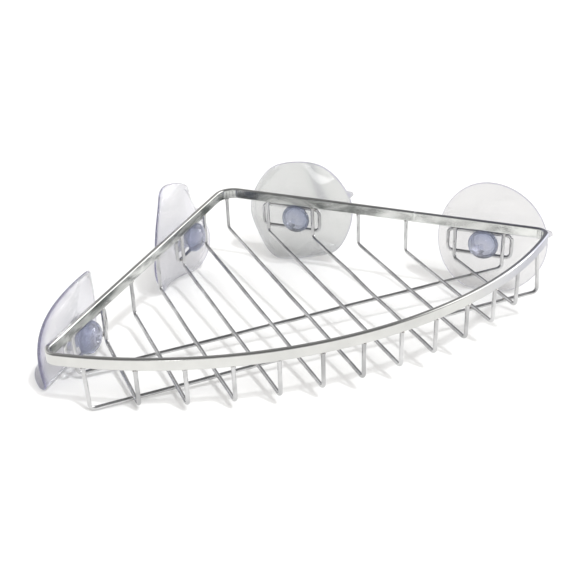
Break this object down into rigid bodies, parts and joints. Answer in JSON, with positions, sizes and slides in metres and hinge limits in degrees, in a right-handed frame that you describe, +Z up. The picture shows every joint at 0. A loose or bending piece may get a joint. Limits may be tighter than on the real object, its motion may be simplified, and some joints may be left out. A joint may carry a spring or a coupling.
{
  "type": "corner shower caddy",
  "caption": "Quarter-round wire basket with a flat polished rim, held in a room corner by clear suction cups that slide in wire brackets.",
  "frame": {"origin": "middle of the footprint of the whole caddy, at the height of its lowest points, the lower edges of the suction cups", "axes": "+Z up with the basket's floor level, +Y towards the corner of the room, so the curved front faces -Y, and +X to the right seen from the front"},
  "size_m": [0.2822, 0.189, 0.0636],
  "materials": {
    "polished_bar": "bright polished stainless flat bar",
    "polished_wire": "bright polished stainless round wire",
    "clear_vinyl": "clear soft vinyl, smooth and glossy, with a faint violet-grey tint"
  },
  "bodies": {
    "basket": {"rim_band": "polished_bar", "floor_wire_01": "polished_wire", "floor_wire_02": "polished_wire", "floor_wire_03": "polished_wire", "floor_wire_04": "polished_wire", "floor_wire_05": "polished_wire", "floor_wire_06": "polished_wire", "floor_wire_07": "polished_wire", "floor_wire_08": "polished_wire", "floor_wire_09": "polished_wire", "floor_wire_10": "polished_wire", "floor_wire_11": "polished_wire", "cross_wire_rear": "polished_wire", "cross_wire_front": "polished_wire", "bracket_left_end": "polished_wire", "bracket_left_corner": "polished_wire", "bracket_right_corner": "polished_wire", "bracket_right_end": "polished_wire"},
    "cup_left_end": {"suction_cup_left_end": "clear_vinyl"},
    "cup_left_corner": {"suction_cup_left_corner": "clear_vinyl"},
    "cup_right_corner": {"suction_cup_right_corner": "clear_vinyl"},
    "cup_right_end": {"suction_cup_right_end": "clear_vinyl"}
  },
  "joints": [
    {"name": "cup_slide_left_end", "type": "slide", "parent": "basket", "child": "cup_left_end", "axis": [-0.7071, -0.7071, 0], "range_m": [-0.0036, 0.0036]},
    {"name": "cup_slide_left_corner", "type": "slide", "parent": "basket", "child": "cup_left_corner", "axis": [-0.7071, -0.7071, 0], "range_m": [-0.0024, 0.0064]},
    {"name": "cup_slide_right_corner", "type": "slide", "parent": "basket", "child": "cup_right_corner", "axis": [0.7071, -0.7071, 0], "range_m": [-0.0078, 0.001]},
    {"name": "cup_slide_right_end", "type": "slide", "parent": "basket", "child": "cup_right_end", "axis": [0.7071, -0.7071, 0], "range_m": [-0.006, 0.0012]}
  ]
}
